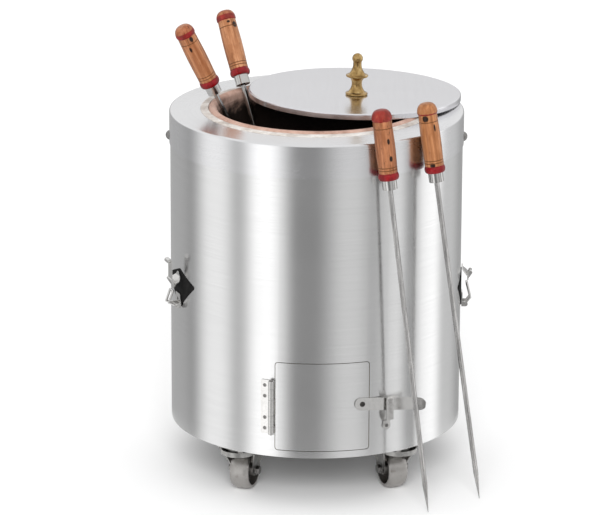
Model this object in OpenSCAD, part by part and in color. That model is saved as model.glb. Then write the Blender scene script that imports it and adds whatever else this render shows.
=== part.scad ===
// Clay tandoor oven: a clay pot in an insulated steel drum on casters, with a
// loose lid, an ash door with a swing-bar latch, side catches and four skewers.
// The origin is on the drum's axis at floor level. +Z is up and the door faces -Y.
// Directions round the drum are angles from the front, positive towards +X.

/* [Drum] */
// Outside diameter of the drum
drum_d = 560; // [540:1:600]
// Height of the drum from its lower edge to the collar's top
drum_h = 610; // [590:1:640]
// Height of the drum's lower edge above the floor
stand_h = 100; // [98:0.5:112]
// Sheet thickness of the drum wall
shell_t = 2; // [1:0.25:3]
// Thickness of the base plate
base_t = 3; // [2:0.5:5]

/* [Collar] */
// Depth of the collar's skirt
skirt_h = 64; // [50:1:90]
// Sheet thickness of the collar
collar_t = 1.5; // [1:0.25:3]
// Radius of the collar's rounded top edge
collar_edge_r = 4; // [3.5:0.5:8]
// Head diameter of the collar's side bolts
collar_bolt_d = 19; // [14:1:22]
// Height of the head of the collar's side bolts
collar_bolt_head = 7; // [5:0.5:10]
// Direction of the first collar bolt
collar_bolt_az = -90; // [-100:1:-80]

/* [Clay pot] */
// Inside diameter of the mouth
mouth_d = 380; // [360:1:390]
// Inside diameter at the belly
belly_d = 444; // [430:1:460]
// Inside diameter at the floor of the pot
floor_d = 330; // [320:1:350]
// Wall thickness of the clay
clay_t = 30; // [24:1:32]
// Thickness of the clay lip at the mouth
lip_t = 17; // [14:0.5:18]
// Height of the lip above the collar
lip_proud = 6; // [3:0.5:10]
// Width of the mortar between the lip and the collar
mortar_w = 15; // [8:0.5:18]
// Height of the mortar above the collar
mortar_rise = 2.4; // [1:0.2:4]
// Height of the pot's floor above the base plate
pot_floor_h = 19; // [15:1:30]

/* [Fire grate] */
// Height of the grate's top above the pot's floor
grate_h = 53; // [45:1:60]
// Thickness of the grate
grate_t = 12; // [8:1:16]
// Diameter of the grate
grate_d = 326; // [300:1:336]
// Width of the slots in the grate
grate_slot = 14; // [8:1:18]
// Distance between the centres of the slots
grate_pitch = 24; // [20:1:30]

/* [Ash door] */
// Width of the door
door_w = 176; // [160:1:190]
// Height of the door
door_h = 172; // [150:1:190]
// Height of the door's lower edge above the drum's
door_z = 14.5; // [10:0.5:20]
// Distance from the drum's centre line to the door's centre
door_x = 13; // [0:0.5:20]
// Gap round the door
door_gap = 1.2; // [0.8:0.1:2]
// Radius of the door's corners
door_corner_r = 5; // [2:0.5:10]
// Depth of the door's inner lining
liner_t = 12; // [8:1:14]
// Sheet thickness of the throat behind the door
throat_t = 2; // [1:0.5:3]
// Width of the throat's passage
throat_w = 144; // [130:1:146]
// Height of the throat's passage
throat_h = 146; // [130:1:150]

/* [Door hinge] */
// Height of the hinge
hinge_h = 106; // [90:1:120]
// Height of the hinge's centre above the drum's lower edge
hinge_z = 98.5; // [90:0.5:110]
// Outside diameter of the hinge's knuckles
knuckle_d = 10.8; // [9:0.2:12]
// Diameter of the hinge pin
hinge_pin_d = 5; // [4:0.25:6]
// Width of the leaf on the drum
leaf_w = 16; // [12:0.5:20]
// Thickness of the hinge's leaves
leaf_t = 2; // [1.5:0.25:3]
// Distance from the door's edge to the hinge pin
hinge_off = 8; // [7:0.25:9]
// Running clearance of the hinge pin
pin_gap = 0.05; // [0.02:0.01:0.1]

/* [Latch] */
// Direction of the latch pivot
latch_az = 18.35; // [17:0.05:19]
// Height of the latch pivot above the drum's lower edge
latch_z = 104.5; // [95:0.5:115]
// Width of the latch bar
bar_w = 24.6; // [18:0.2:28]
// Thickness of the latch bar
bar_t = 2.4; // [2:0.1:3]
// Length of the latch bar from its pivot to its tip
bar_len = 124; // [110:1:128]
// Length of the bar beyond its pivot
bar_tail = 15; // [13:0.5:18]
// Length of the bent finger tab
tab_len = 24; // [16:1:28]
// Angle of the finger tab
tab_angle = 26; // [10:1:35]
// Angle by which the bar hangs below level
bar_droop = 4.5; // [0:0.5:6]
// Direction of the keeper
keeper_az = 28.6; // [28:0.1:32]
// Width of the keeper strap
keeper_w = 15; // [10:0.5:18]
// Thickness of the keeper strap
keeper_t = 2.2; // [1.5:0.1:3]
// Distance of the strap's inner face from the drum
keeper_off = 13.5; // [12:0.5:20]
// Height of the keeper's lower bend above the drum's lower edge
keeper_z = 66; // [60:1:72]
// Height of the keeper's upper end above the drum's lower edge
keeper_top = 118; // [112:1:125]

/* [Side catches] */
// Directions of the two side catches
catch_az = [-68, 90];
// Height of the lower corner of each pad above the drum's lower edge
catch_z = [245, 219];
// Width of the kite-shaped pad
pad_w = 120; // [100:1:130]
// Height of the kite-shaped pad
pad_h = 75.5; // [66:0.5:84]
// Thickness of the pad
pad_t = 1.5; // [1:0.25:3]
// Corner radius of the pad
pad_r = 4; // [2:0.5:8]
// Width of the catch's foot
foot_w = 24; // [20:1:30]
// Height of the catch's foot
foot_h = 28; // [24:1:32]
// Sheet thickness of the catch
catch_t = 2; // [1.5:0.25:3]
// Wire diameter of the bail
bail_d = 4.5; // [3:0.25:5.5]
// Distance between the bail's legs
bail_w = 15; // [13:0.5:17]
// Width of the catch plate
leaf_plate_w = 40; // [34:1:46]
// Distance of the catch plate from the drum
plate_out = 13; // [12:0.5:16]
// Extra height of each catch plate
plate_up = [0, 12];
// Width of the lever
lever_w = 18; // [12:0.5:20]
// Length of the lever
lever_len = 42; // [34:1:50]
// Outside diameter of the lever's curled end
curl_d = 9.5; // [8:0.5:12]

/* [Casters] */
// Distance of the caster pivots from the drum's axis
caster_r = 245; // [235:0.5:248]
// Directions of the caster pivots
caster_az = [-36.5, 41, 142, -142];
// Directions in which the casters trail
caster_turn = [-19, 21, 12, -35];
// Wheel diameter
wheel_d = 76.2; // [70:0.1:78]
// Wheel width
wheel_w = 37; // [28:1:39]
// Trail of the wheel behind its pivot
trail = 36; // [30:1:40]
// Side of the square top plate
plate_w = 60; // [58:0.5:62]
// Thickness of the top plate
plate_t = 3; // [2:0.5:4]
// Distance between the bolts of the top plate
plate_pitch = 45; // [44:0.5:46]
// Thread diameter of the caster bolts
caster_bolt_d = 7; // [6:0.5:8]
// Diameter of the fork's crown
crown_d = 68; // [64:0.5:72]
// Thickness of the fork's legs
fork_t = 2.5; // [2:0.25:3]
// Diameter of the caster axle
axle_d = 10; // [8:0.5:12]
// Diameter of the king pin
king_d = 10; // [8:0.5:12]

/* [Lid] */
// Diameter of the lid
lid_d = 410; // [400:1:412]
// Sheet thickness of the lid
lid_t = 1.5; // [1:0.25:2.5]
// Depth of the lid's rim
lid_rim = 11; // [8:0.5:14]
// Place of the lid's centre
lid_pos = [73, 80];
// Place of the knob relative to the lid's centre
knob_pos = [3, -36];
// Height of the knob
knob_h = 81; // [74:1:90]
// Diameter of the knob's base
knob_d = 43; // [38:0.5:48]
// Diameter of the knob's screw
knob_screw_d = 8; // [6:0.5:9]

/* [Skewers] */
// Length of rod between the pot's lip and the handle, on the skewer that leans furthest
rod_over = 12.5; // [11:0.5:20]
// Side of the square rod
rod_w = 7.5; // [6:0.25:8]
// Length of the rod's point
point_len = 34; // [24:1:44]
// Length of the tang inside the handle
tang_len = 60; // [40:1:80]
// Length of the wooden handle
handle_len = 134; // [124:1:146]
// Greatest diameter of the handle
handle_d = 39; // [34:0.5:40]
// Diameter of the ferrule
ferrule_d = 28; // [24:0.5:28]
// Length of the ferrule
ferrule_len = 16; // [12:0.5:20]
// Direction and distance from the axis of each tip: two in the pot, two outside
tip_place = [[149, 125], [6.9, 146], [35.9, 365.5], [54.9, 383.7]];
// Direction of the place where each skewer leans
lean_az = [-90, -130, 24.7, 44.6];
// Turn of each rod about its own axis
rod_turn = [65, 20, 20, 0];

/* [Hidden] */
$fn = 96;
tiny = 0.01;
touch_gap = 0.3;
seat_gap = 0.05;
tip_gap = 0.4;
pierce = 40;
far_round = 180;
mid_round = 120;
small_round = 32;
drum_r = drum_d / 2;
shell_in = drum_r - shell_t;
drum_top = stand_h + drum_h;
base_top = stand_h + base_t;
shell_top = drum_top - collar_edge_r;
collar_under = drum_top - collar_t;

collar_in = drum_r + touch_gap;
collar_r = collar_in + collar_t;
skirt_z = drum_top - skirt_h;
collar_bolt_z = skirt_z + collar_bolt_d / 2 + touch_gap;
collar_bolt_r = 4;
bolt_end = 10;
arc_steps = 8;

lip_top = drum_top + lip_proud;
mouth_r = mouth_d / 2;
lip_out = mouth_r + lip_t;
hole_r = lip_out + mortar_w;
mortar_under = 14;
lip_sunk = 2;
pot_floor = base_top + pot_floor_h;
pot_under = base_top + touch_gap;
pot_steps = 20;
belly_low = 0.85;
belly_full = 0.8;
neck_sharp = 6;
neck_h = 12;
fill_gap = 9;
fill_r = shell_in - fill_gap;
fill_top = drum_top - 2 * neck_h;

grate_top = pot_floor + grate_h;
grate_r = grate_d / 2;
grate_foot_r = 9;
grate_rim = 16;
grate_bar = 10;
grate_rows = 6;

door_x0 = door_x - door_w / 2;
door_x1 = door_x + door_w / 2;
door_z0 = stand_h + door_z;
door_mid_z = door_z0 + door_h / 2;
throat_shift = 5;
throat_x = door_x + throat_shift;
throat_back = -(floor_d / 2 + clay_t);
throat_end = floor_d * 0.3;
liner_gap = 4;

hinge_x = door_x0 - hinge_off;
hinge_r = drum_r + knuckle_d / 2 + touch_gap;
hinge_y = -sqrt(hinge_r * hinge_r - hinge_x * hinge_x);
hinge_az = atan2(hinge_x, -hinge_y);
leaf_az = hinge_az - (knuckle_d / 2 + leaf_w / 2) / drum_r * 180 / PI;
hinge_z0 = stand_h + hinge_z - hinge_h / 2;
knuckles = [0, 0.151, 0.349, 0.651, 0.849, 1];
knuckle_gap = 0.4;
leaf_corner_r = 3;
tab_side = 1.3;
tab_w = 4.5;
tab_room = 0.8;
inner_leaf_w = 8;
pin_head_h = 1.4;
pin_head_edge = 1;
leaf_screw_d = 4;
leaf_screw_head = 7.4;
leaf_screws = [0.1, 0.3, 0.7, 0.9];

pivot_z = stand_h + latch_z;
bar_gap = 0.4;
bar_n = drum_r + touch_gap + bar_gap;
rivet_d = 6;
rivet_head_d = 10.4;
rivet_head_h = 2.2;
rivet_taper = 0.72;
rivet_dimple = 0.42;
keeper_z0 = stand_h + keeper_z;
keeper_z1 = stand_h + keeper_top;
keeper_foot = 20;
keeper_rise = 5;
keeper_lip = 5;
small_screw_d = 4;
small_screw_head = 7.6;
screw_len = 8;
cross_slot = 0.14;
cross_reach = 0.62;

pad_gap = 0.1;
pad_n = drum_r + pad_gap;
pad_wide = 0.68;
foot_gap = 0.5;
foot_n = drum_r + pad_t + foot_gap;
foot_r = 2;
bail_n = 9.5;
bail_z = 4.5;
bail_path = [[[bail_n, bail_z], [24.5, 12], [16.5, 34]], [[bail_n, bail_z], [18.8, 17], [12, 45]]];
ear_t = 2.5;
ear_r = 4.5;
plate_low = 37.5;
plate_mid = 51;
plate_high = 63;
plate_end = 8;
plate_tip = 3;
lever_z = 56;
lever_pin_d = 3.2;
lever_eye_d = 6.4;
lever_n = plate_out + catch_t + lever_eye_d / 2 + 2 * touch_gap;

crown_r = crown_d / 2;
wheel_r = wheel_d / 2;
crown_t = 3;
crown_wall = 2.2;
wheel_room = 6.5;
crown_z = wheel_d + wheel_room;
plate_z = stand_h - plate_t;
plate_corner = 5;
race_t = 4;
leg_room = 3.5;
leg_x = wheel_w / 2 + leg_room;
leg_front = 2;
leg_back = trail + 16;
flange_w = 11;
axle_boss = 10;
bend_z = wheel_r + axle_boss + 4;
hub_r = 12;
hub_out = 1.5;
web = 10;
draft = 2;
tread_t = 8;
tread_sag = 4;
tread_round = 4;
tread_steps = 8;
nut_h = 6;
nut_over = 1.8;
head_over = 1.7;
race_r = plate_pitch / sqrt(2) - head_over * caster_bolt_d / 2 - touch_gap;
bolt_over = 3;
king_head = 2.5;
king_over = 6;
king_z = crown_z - king_head - 2 * touch_gap;
bolt_head_h = 4.5;
crown_top = plate_z - bolt_head_h - 2 * touch_gap;

lid_r = lid_d / 2;
lid_off = norm(lid_pos);
lid_dir = atan2(lid_pos[1], lid_pos[0]);
lip_crest = mouth_r + lip_t / 2;
lid_on_lip = (lid_off * lid_off + lip_crest * lip_crest - lid_r * lid_r) / (2 * lid_off);
lid_on_edge = (lid_off * lid_off + collar_r * collar_r - lid_r * lid_r) / (2 * lid_off);
lid_tilt = atan(lip_proud / (lid_on_edge - lid_on_lip));
lid_z = lip_top + tip_gap - (lid_off - lid_on_lip) * tan(lid_tilt);
lid_edge_r = 2.5;
knob_edge = 0.11;
knob_waist = 0.46;
knob_neck = 0.38;
knob_ball = 0.48;
knob_waist_z = 0.27;
knob_disc_z = 0.46;
knob_step = 0.8;
flare_steps = 9;
flare_power = 2.2;
washer_t = 2;
washer_over = 2.4;

rod_diag = rod_w / sqrt(2);
lean_gap = 1.7;
handle_r = handle_d / 2;
ferrule_r = ferrule_d / 2;
ferrule_t = 1.2;
ferrule_over = 2;
point_share = 0.15;
body_in = 1.5;
bead_h = 13;
bead_in = 3;
groove_in = 0.8;
groove_low = [19.8, 24.8];
groove_drop = 35.2;
swell = 0.7;
cap_drop = 22;
cap_h = 14;
cap_r = 11;
rod_len = max(norm(lean_at(0) - tip_at(0)), norm(lean_at(1) - tip_at(1))) + rod_over;

// Helpers

// Points of an arc about (cx, cy)
function arc(cx, cy, r, a0, a1, n) =
    [for (i = [0:n]) let (a = a0 + (a1 - a0) * i / n) [cx + r * cos(a), cy + r * sin(a)]];

function spot(az, r) = [r * sin(az), -r * cos(az)];

// Inside radius of the pot at a share u of its height
function pot_in(u) =
    (1 - u) * floor_d / 2 + u * mouth_r
    + (belly_d / 2 - (floor_d / 2 + mouth_r) / 2) * pow(sin(180 * pow(u, belly_low)), belly_full);

function pot_z(u) = pot_floor + (drum_top - neck_h - pot_floor) * u;

// Wall thickness of the pot at a share u of its height
function pot_wall(u) = clay_t + (lip_t - clay_t) * pow(u, neck_sharp);

module at_az(az, r = 0, z = 0) {
    rotate([0, 0, az])
        translate([0, -r, z])
            children();
}

// A shape drawn in X and Y, stood up and run inwards along +Y from the front
module stand_out(y0, y1) {
    translate([0, y1, 0])
        rotate([90, 0, 0])
            linear_extrude(height = y1 - y0)
                children();
}

// A shape drawn as depth and height, run across by its width
module side_profile(w) {
    translate([w / 2, 0, 0])
        rotate([0, 0, -90])
            rotate([90, 0, 0])
                linear_extrude(height = w)
                    children();
}

module round_rect(w, h, r) {
    square([w - 2 * r, h], center = true);
    square([w, h - 2 * r], center = true);
    for (sx = [-1, 1], sy = [-1, 1])
        translate([sx * (w / 2 - r), sy * (h / 2 - r)])
            circle(r = r);
}

module tube_ring(r_out, r_in, z0, z1) {
    translate([0, 0, z0])
        difference() {
            cylinder(r = r_out, h = z1 - z0, $fn = far_round);
            translate([0, 0, -1])
                cylinder(r = r_in, h = z1 - z0 + 2, $fn = far_round);
        }
}

// A cross-head screw along -Y with its head's face at y = 0
module cross_screw(d, head_d, head_h, len) {
    slot = head_d * cross_slot;
    arm = head_d * cross_reach;
    difference() {
        rotate([-90, 0, 0])
            union() {
                cylinder(d1 = head_d, d2 = d, h = head_h);
                cylinder(d = d, h = len);
            }
        cube([arm, head_h, slot], center = true);
        cube([slot, head_h, arm], center = true);
    }
}

module screw_hole(d, head_d, head_h, len) {
    rotate([-90, 0, 0])
        union() {
            translate([0, 0, -tiny])
                cylinder(d1 = head_d + 2 * seat_gap, d2 = d + 2 * seat_gap, h = head_h + tiny);
            translate([0, 0, -1])
                cylinder(d = d + 2 * seat_gap, h = len + 2);
        }
}

// Drum

module door_outline(grow) {
    translate([door_x, door_mid_z])
        round_rect(door_w + 2 * grow, door_h + 2 * grow, door_corner_r + grow);
}

module hinge_screw_spots() {
    for (s = leaf_screws)
        at_az(leaf_az, drum_r + touch_gap + leaf_t, hinge_z0 + s * hinge_h)
            children();
}

// Where the door's hinge tabs pass through the drum wall
module hinge_notch(grow) {
    for (k = [1, 3]) {
        z0 = hinge_z0 + knuckles[k] * hinge_h - grow;
        z1 = hinge_z0 + knuckles[k + 1] * hinge_h + grow;
        translate([hinge_x - tab_side - touch_gap - grow, -drum_r, z0])
            cube([hinge_off + tab_side + 2 * grow, pierce / 2, z1 - z0]);
    }
}

module outer_shell() {
    color("gainsboro")
        difference() {
            tube_ring(drum_r, shell_in, stand_h, shell_top);
            stand_out(-drum_r - 1, -drum_r / 2)
                door_outline(door_gap);
            hinge_notch(tab_room);
            hinge_screw_spots()
                screw_hole(leaf_screw_d, leaf_screw_head, leaf_t, screw_len);
            fitting_screw_spots()
                screw_hole(small_screw_d, small_screw_head, keeper_t, screw_len);
            for (s = [0, 1])
                at_az(collar_bolt_az + 180 * s, drum_r, collar_bolt_z)
                    rotate([90, 0, 0])
                        cylinder(r = collar_bolt_r + seat_gap, h = pierce / 2, center = true);
        }
}

module base_plate() {
    color("silver")
        difference() {
            translate([0, 0, stand_h])
                cylinder(r = shell_in - seat_gap, h = base_t, $fn = far_round);
            caster_bolt_spots()
                translate([0, 0, -pierce / 2])
                    cylinder(d = caster_bolt_d + 2 * seat_gap, h = pierce);
        }
}

module collar_profile() {
    inner_r = collar_edge_r - collar_t;
    polygon(concat(
        [[hole_r, collar_under], [hole_r, drum_top]],
        arc(collar_r - collar_edge_r, drum_top - collar_edge_r, collar_edge_r, 90, 0, arc_steps),
        [[collar_r, skirt_z], [collar_in, skirt_z]],
        arc(collar_r - collar_edge_r, drum_top - collar_edge_r, inner_r, 0, 90, arc_steps)));
}

module top_collar() {
    color("whitesmoke")
        difference() {
            rotate_extrude($fn = far_round)
                collar_profile();
            for (s = [0, 1])
                at_az(collar_bolt_az + 180 * s, drum_r, collar_bolt_z)
                    rotate([90, 0, 0])
                        cylinder(r = collar_bolt_r + seat_gap, h = pierce / 2, center = true);
        }
}

module collar_bolts() {
    dome_r = (collar_bolt_d * collar_bolt_d / 4 + collar_bolt_head * collar_bolt_head)
        / (2 * collar_bolt_head);
    color("dimgray")
        for (s = [0, 1])
            at_az(collar_bolt_az + 180 * s, collar_r + seat_gap, collar_bolt_z)
                rotate([90, 0, 0]) {
                    intersection() {
                        cylinder(d = collar_bolt_d, h = collar_bolt_head);
                        translate([0, 0, collar_bolt_head - dome_r])
                            sphere(r = dome_r);
                    }
                    translate([0, 0, -bolt_end])
                        cylinder(r = collar_bolt_r, h = bolt_end + 1);
                }
}

// Pot and fire

// The pot's outside with a gap round it, as half a section
module pot_room(gap) {
    polygon(concat(
        [[0, base_top], [pot_in(0) + pot_wall(0) + gap, base_top]],
        [for (i = [0:pot_steps]) let (u = i / pot_steps) [pot_in(u) + pot_wall(u) + gap, pot_z(u)]],
        [[lip_out + gap, lip_top], [0, lip_top]]));
}

module pot_profile() {
    crest = lip_t / 2;
    polygon(concat(
        [[0, pot_under], [pot_in(0) + pot_wall(0), pot_under]],
        [for (i = [0:pot_steps]) let (u = i / pot_steps) [pot_in(u) + pot_wall(u), pot_z(u)]],
        [for (a = [0:15:180])
            [lip_crest + crest * cos(a), drum_top - lip_sunk + (lip_proud + lip_sunk) * sin(a)]],
        [for (i = [pot_steps:-1:0]) [pot_in(i / pot_steps), pot_z(i / pot_steps)]],
        [[0, pot_floor]]));
}

module clay_pot() {
    color("rosybrown")
        difference() {
            rotate_extrude($fn = mid_round)
                pot_profile();
            throat_passage(0);
        }
}

module mortar_ring() {
    color("lightgray")
        rotate_extrude($fn = mid_round)
            difference() {
                polygon([
                    [mouth_r, fill_top + touch_gap],
                    [hole_r + mortar_under, fill_top + touch_gap],
                    [hole_r + mortar_under, collar_under - touch_gap],
                    [hole_r - touch_gap, collar_under - touch_gap],
                    [hole_r - touch_gap, drum_top + mortar_rise / 6],
                    [hole_r - mortar_w / 4, drum_top + mortar_rise * 2 / 3],
                    [lip_out + mortar_w / 4, drum_top + mortar_rise],
                    [mouth_r, drum_top + mortar_rise]]);
                pot_room(touch_gap);
            }
}

module insulation_fill() {
    color("khaki")
        difference() {
            translate([0, 0, base_top + touch_gap])
                cylinder(r = fill_r, h = fill_top - base_top - touch_gap, $fn = far_round);
            rotate_extrude($fn = mid_round)
                pot_room(touch_gap);
            throat_passage(throat_t + touch_gap);
            caster_bolt_spots()
                cylinder(d = 2 * caster_bolt_d + bolt_over, h = base_t + 2 * nut_h + bolt_over);
        }
}

// The passage from the door into the pot
module throat_passage(grow) {
    translate([throat_x - throat_w / 2 - grow, -drum_r, door_mid_z - throat_h / 2 - grow])
        cube([throat_w + 2 * grow, drum_r - throat_end, throat_h + 2 * grow]);
}

module door_throat() {
    outer_w = throat_w + 2 * throat_t;
    outer_h = throat_h + 2 * throat_t;
    notch = shell_t + rivet_head_h + liner_gap;
    color("darkgray")
        difference() {
            intersection() {
                translate([throat_x - outer_w / 2, -drum_r, door_mid_z - outer_h / 2])
                    cube([outer_w, drum_r + throat_back, outer_h]);
                cylinder(r = shell_in - seat_gap, h = drum_top, $fn = far_round);
            }
            throat_passage(0);
            rotate_extrude($fn = mid_round)
                pot_room(touch_gap);
            // room for the end of the latch rivet
            latch_frame(drum_r)
                rotate([90, 0, 0])
                    cylinder(d = rivet_head_d + liner_gap, h = 2 * notch, center = true);
        }
}

module fire_grate() {
    color("dimgray") {
        difference() {
            translate([0, 0, grate_top - grate_t])
                cylinder(r = grate_r, h = grate_t, $fn = mid_round);
            for (i = [-grate_rows:grate_rows]) {
                half = grate_r - grate_rim;
                side = abs(i * grate_pitch) + grate_slot / 2;
                reach = side < half - 2 * grate_bar ? sqrt(half * half - side * side) : 0;
                if (reach > 0)
                    for (y0 = [grate_bar / 2, -reach])
                        translate([i * grate_pitch - grate_slot / 2, y0, grate_top - grate_t - 1])
                            cube([grate_slot, reach - grate_bar / 2, grate_t + 2]);
            }
        }
        for (a = [60, 180, 300])
            at_az(a, grate_r - 2 * grate_foot_r, pot_floor + touch_gap)
                cylinder(r1 = grate_foot_r - 2, r2 = grate_foot_r, h = grate_h - grate_t);
    }
}

// Ash door

module ash_door() {
    color("lightgray")
        difference() {
            intersection() {
                tube_ring(drum_r, shell_in, stand_h, drum_top);
                stand_out(-drum_r - 1, -drum_r / 2)
                    door_outline(0);
            }
            latch_frame(drum_r)
                rotate([90, 0, 0])
                    cylinder(d = rivet_d + 2 * seat_gap, h = pierce / 2, center = true);
        }
}

module door_lining() {
    color("darkgray")
        difference() {
            intersection() {
                tube_ring(shell_in - seat_gap, shell_in - liner_t, stand_h, drum_top);
                stand_out(-drum_r - 1, -drum_r / 2)
                    translate([throat_x, door_mid_z])
                        round_rect(throat_w - 2 * liner_gap, throat_h - 2 * liner_gap, door_corner_r);
            }
            latch_frame(drum_r)
                rotate([90, 0, 0])
                    cylinder(d = rivet_head_d + 1, h = 2 * (shell_t + liner_t), center = true);
        }
}

module knuckle(k) {
    z0 = hinge_z0 + knuckles[k] * hinge_h + knuckle_gap / 2;
    z1 = hinge_z0 + knuckles[k + 1] * hinge_h - knuckle_gap / 2;
    translate([hinge_x, hinge_y, z0])
        cylinder(d = knuckle_d, h = z1 - z0);
}

module pin_bore() {
    translate([hinge_x, hinge_y, hinge_z0 - knuckle_d])
        cylinder(r = hinge_pin_d / 2 + pin_gap, h = hinge_h + 2 * knuckle_d);
}

module hinge_leaf_drum() {
    leaf_n = drum_r + touch_gap;
    reach = leaf_w / 2 + knuckle_d / 2;
    color("silver")
        difference() {
            union() {
                at_az(leaf_az, leaf_n + leaf_t, hinge_z0 + hinge_h / 2)
                    stand_out(0, leaf_t)
                        round_rect(leaf_w, hinge_h, leaf_corner_r);
                for (k = [0, 2, 4]) {
                    z0 = hinge_z0 + knuckles[k] * hinge_h + knuckle_gap / 2;
                    z1 = hinge_z0 + knuckles[k + 1] * hinge_h - knuckle_gap / 2;
                    knuckle(k);
                    at_az(leaf_az, leaf_n + leaf_t, z0)
                        cube([reach, leaf_t, z1 - z0]);
                }
            }
            pin_bore();
            hinge_screw_spots()
                screw_hole(leaf_screw_d, leaf_screw_head, leaf_t, screw_len);
        }
}

module hinge_leaf_door() {
    tab_in = shell_in - leaf_t;
    color("silver")
        difference() {
            union() {
                for (k = [1, 3]) {
                    z0 = hinge_z0 + knuckles[k] * hinge_h + knuckle_gap / 2;
                    z1 = hinge_z0 + knuckles[k + 1] * hinge_h - knuckle_gap / 2;
                    knuckle(k);
                    intersection() {
                        tube_ring(hinge_r, tab_in, z0, z1);
                        translate([hinge_x - tab_side, -hinge_r, z0])
                            cube([tab_w, pierce, z1 - z0]);
                    }
                    intersection() {
                        tube_ring(shell_in - seat_gap, tab_in, z0, z1);
                        translate([hinge_x - tab_side, -drum_r, z0])
                            cube([hinge_off + inner_leaf_w + tab_side, pierce, z1 - z0]);
                    }
                }
                intersection() {
                    tube_ring(shell_in - seat_gap, tab_in, hinge_z0, hinge_z0 + hinge_h);
                    translate([door_x0 + touch_gap, -drum_r, hinge_z0])
                        cube([inner_leaf_w - touch_gap, pierce, hinge_h]);
                }
            }
            pin_bore();
        }
}

module hinge_pin() {
    head = hinge_pin_d / 2 + pin_head_edge;
    color("gray")
        translate([hinge_x, hinge_y, hinge_z0]) {
            translate([0, 0, -touch_gap])
                cylinder(d = hinge_pin_d, h = hinge_h + 2 * touch_gap);
            for (s = [0, 1])
                translate([0, 0, s * hinge_h])
                    mirror([0, 0, 1 - s])
                        translate([0, 0, touch_gap - tiny])
                            cylinder(r1 = head, r2 = head - pin_head_h, h = pin_head_h);
        }
}

module hinge_screws() {
    color("gray")
        hinge_screw_spots()
            cross_screw(leaf_screw_d, leaf_screw_head, leaf_t, screw_len);
}

// Latch

// Frame of the latch pivot: X along the drum's surface, -Y outwards
module latch_frame(r) {
    at_az(latch_az, r, pivot_z)
        children();
}

module latch_bar() {
    bend = bar_len - tab_len * cos(tab_angle);
    outer_bend = bend - bar_t * tan(tab_angle / 2);
    tab_out = tab_len * sin(tab_angle);
    tip_out = bar_t - bar_t * cos(tab_angle) - tab_out;
    color("silver")
        latch_frame(bar_n + bar_t)
            rotate([0, bar_droop, 0])
                difference() {
                    intersection() {
                        // the bent strip, seen from above
                        translate([0, 0, -bar_w])
                            linear_extrude(height = 2 * bar_w)
                                polygon([
                                    [-2 * bar_tail, 0],
                                    [outer_bend, 0],
                                    [bar_len - bar_t * sin(tab_angle), tip_out],
                                    [bar_len, bar_t - tab_out],
                                    [bend, bar_t],
                                    [-2 * bar_tail, bar_t]]);
                        // its outline, seen from the front
                        stand_out(-bar_len, bar_len) {
                            translate([bar_w / 2 - bar_tail, 0])
                                circle(d = bar_w);
                            translate([bar_len - bar_w / 2, 0])
                                circle(d = bar_w);
                            translate([bar_w / 2 - bar_tail, -bar_w / 2])
                                square([bar_len + bar_tail - bar_w, bar_w]);
                        }
                    }
                    rotate([90, 0, 0])
                        cylinder(d = rivet_d + 2 * seat_gap, h = pierce / 2, center = true);
                }
}

module latch_rivet() {
    inner_end = bar_n + bar_t + touch_gap - shell_in + touch_gap;
    color("dimgray")
        latch_frame(bar_n + bar_t + touch_gap)
            difference() {
                rotate([-90, 0, 0])
                    union() {
                        translate([0, 0, -rivet_head_h])
                            cylinder(d1 = rivet_head_d * rivet_taper, d2 = rivet_head_d, h = rivet_head_h);
                        cylinder(d = rivet_d, h = inner_end + tiny);
                        translate([0, 0, inner_end])
                            cylinder(d = rivet_head_d, h = rivet_head_h);
                    }
                rotate([90, 0, 0])
                    translate([0, 0, rivet_head_h / 2])
                        cylinder(d = rivet_head_d * rivet_dimple, h = rivet_head_h);
            }
}

module fitting_screw_spots() {
    at_az(keeper_az, drum_r + touch_gap + keeper_t, keeper_z0 - keeper_foot / 2)
        children();
    for (i = [0, 1])
        at_az(catch_az[i], foot_n + catch_t, stand_h + catch_z[i] + foot_h / 2 + foot_r)
            children();
}

module latch_keeper() {
    n0 = touch_gap;
    n1 = keeper_off;
    lip = keeper_lip;
    color("silver")
        at_az(keeper_az, drum_r, 0)
            difference() {
                union() {
                    // foot with a round lower end
                    translate([0, 0, keeper_z0 - keeper_foot / 2])
                        stand_out(-n0 - keeper_t, -n0) {
                            circle(d = keeper_w + keeper_t);
                            translate([-keeper_w / 2, 0])
                                square([keeper_w, keeper_foot / 2]);
                        }
                    // strap that bends out, up past the bar and out again at its end
                    side_profile(keeper_w)
                        polygon([
                            [n0, keeper_z0 - keeper_t],
                            [n0 + keeper_t, keeper_z0 - keeper_t],
                            [n0 + keeper_t, keeper_z0 - keeper_t / 2],
                            [n1 + keeper_t, keeper_z0 + keeper_rise],
                            [n1 + keeper_t, keeper_z1 - lip],
                            [n1 + keeper_t + lip, keeper_z1],
                            [n1 + lip, keeper_z1 + keeper_t / 2],
                            [n1, keeper_z1 - lip + keeper_t / 2],
                            [n1, keeper_z0 + keeper_rise + keeper_t / 2],
                            [n0, keeper_z0 + keeper_t / 2]]);
                }
                translate([0, -n0 - keeper_t, keeper_z0 - keeper_foot / 2])
                    screw_hole(small_screw_d, small_screw_head, keeper_t, screw_len);
            }
}

module fitting_screws() {
    color("gray")
        fitting_screw_spots()
            cross_screw(small_screw_d, small_screw_head, keeper_t, screw_len);
}

// Side catches

// Frame of a side catch: drawn at the drum's surface above the pad's lower corner
module catch_frame(i) {
    at_az(catch_az[i], drum_r, stand_h + catch_z[i])
        children();
}

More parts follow.
